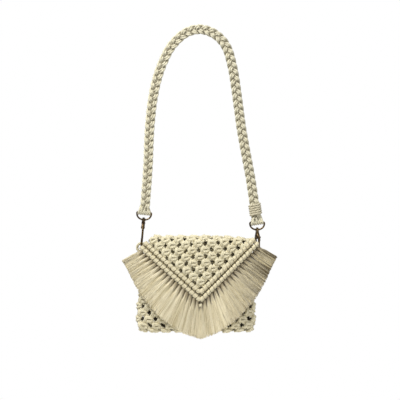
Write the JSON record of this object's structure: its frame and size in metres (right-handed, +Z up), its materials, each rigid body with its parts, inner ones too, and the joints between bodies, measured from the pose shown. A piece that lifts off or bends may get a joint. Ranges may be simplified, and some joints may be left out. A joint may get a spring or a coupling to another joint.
{
  "type": "macrame crossbody bag",
  "caption": "Knotted cotton macrame crossbody bag: hollow pouch under a pointed, ribbed flap with a long fringe, hung by a braided strap on swivel clasps.",
  "frame": {"origin": "inside the top of the strap's arch, where the bag hangs on a shoulder or hook", "axes": "+Z up, +X to the right seen from the front, the front faces -Y"},
  "size_m": [0.2892, 0.0608, 0.6009],
  "materials": {
    "cotton_net": "knotted ecru cotton cord",
    "cotton_rib": "hitched ecru cotton cord",
    "cotton_fringe": "brushed cotton strands",
    "cotton_braid": "braided ecru cotton cord",
    "antique_brass": "antique bronze plating"
  },
  "bodies": {
    "bag": {"pouch": "cotton_net", "flap": "cotton_net", "rib_inner": "cotton_rib", "rib_outer": "cotton_rib", "fringe": "cotton_fringe", "strap": "cotton_braid", "strap_binding": "cotton_braid", "side_loop_left": "cotton_net", "side_loop_right": "cotton_net", "clasp_loop_left": "antique_brass", "clasp_loop_right": "antique_brass"},
    "hook_left": {"clasp_hook_left": "antique_brass"},
    "gate_left": {"clasp_gate_left": "antique_brass"},
    "hook_right": {"clasp_hook_right": "antique_brass"},
    "gate_right": {"clasp_gate_right": "antique_brass"}
  },
  "joints": [
    {"name": "swivel_left", "type": "hinge", "parent": "bag", "child": "hook_left", "pos_m": [-0.10796, 0, -0.35535], "axis": [0.0874, 0, 0.9962], "range_deg": [-28, 28]},
    {"name": "gate_left_hinge", "type": "hinge", "parent": "hook_left", "child": "gate_left", "pos_m": [-0.10922, -0.0067, -0.36969], "axis": [0.9962, 0, -0.0874], "range_deg": [0, 26], "stiffness_Nm_per_rad": 0.03},
    {"name": "swivel_right", "type": "hinge", "parent": "bag", "child": "hook_right", "pos_m": [0.10968, 0, -0.3744], "axis": [-0.0196, 0, 0.9998], "range_deg": [-50, 6]},
    {"name": "gate_right_hinge", "type": "hinge", "parent": "hook_right", "child": "gate_right", "pos_m": [0.11247, -0.00621, -0.38875], "axis": [0.927, 0.3746, 0.0182], "range_deg": [0, 26], "stiffness_Nm_per_rad": 0.03}
  ]
}
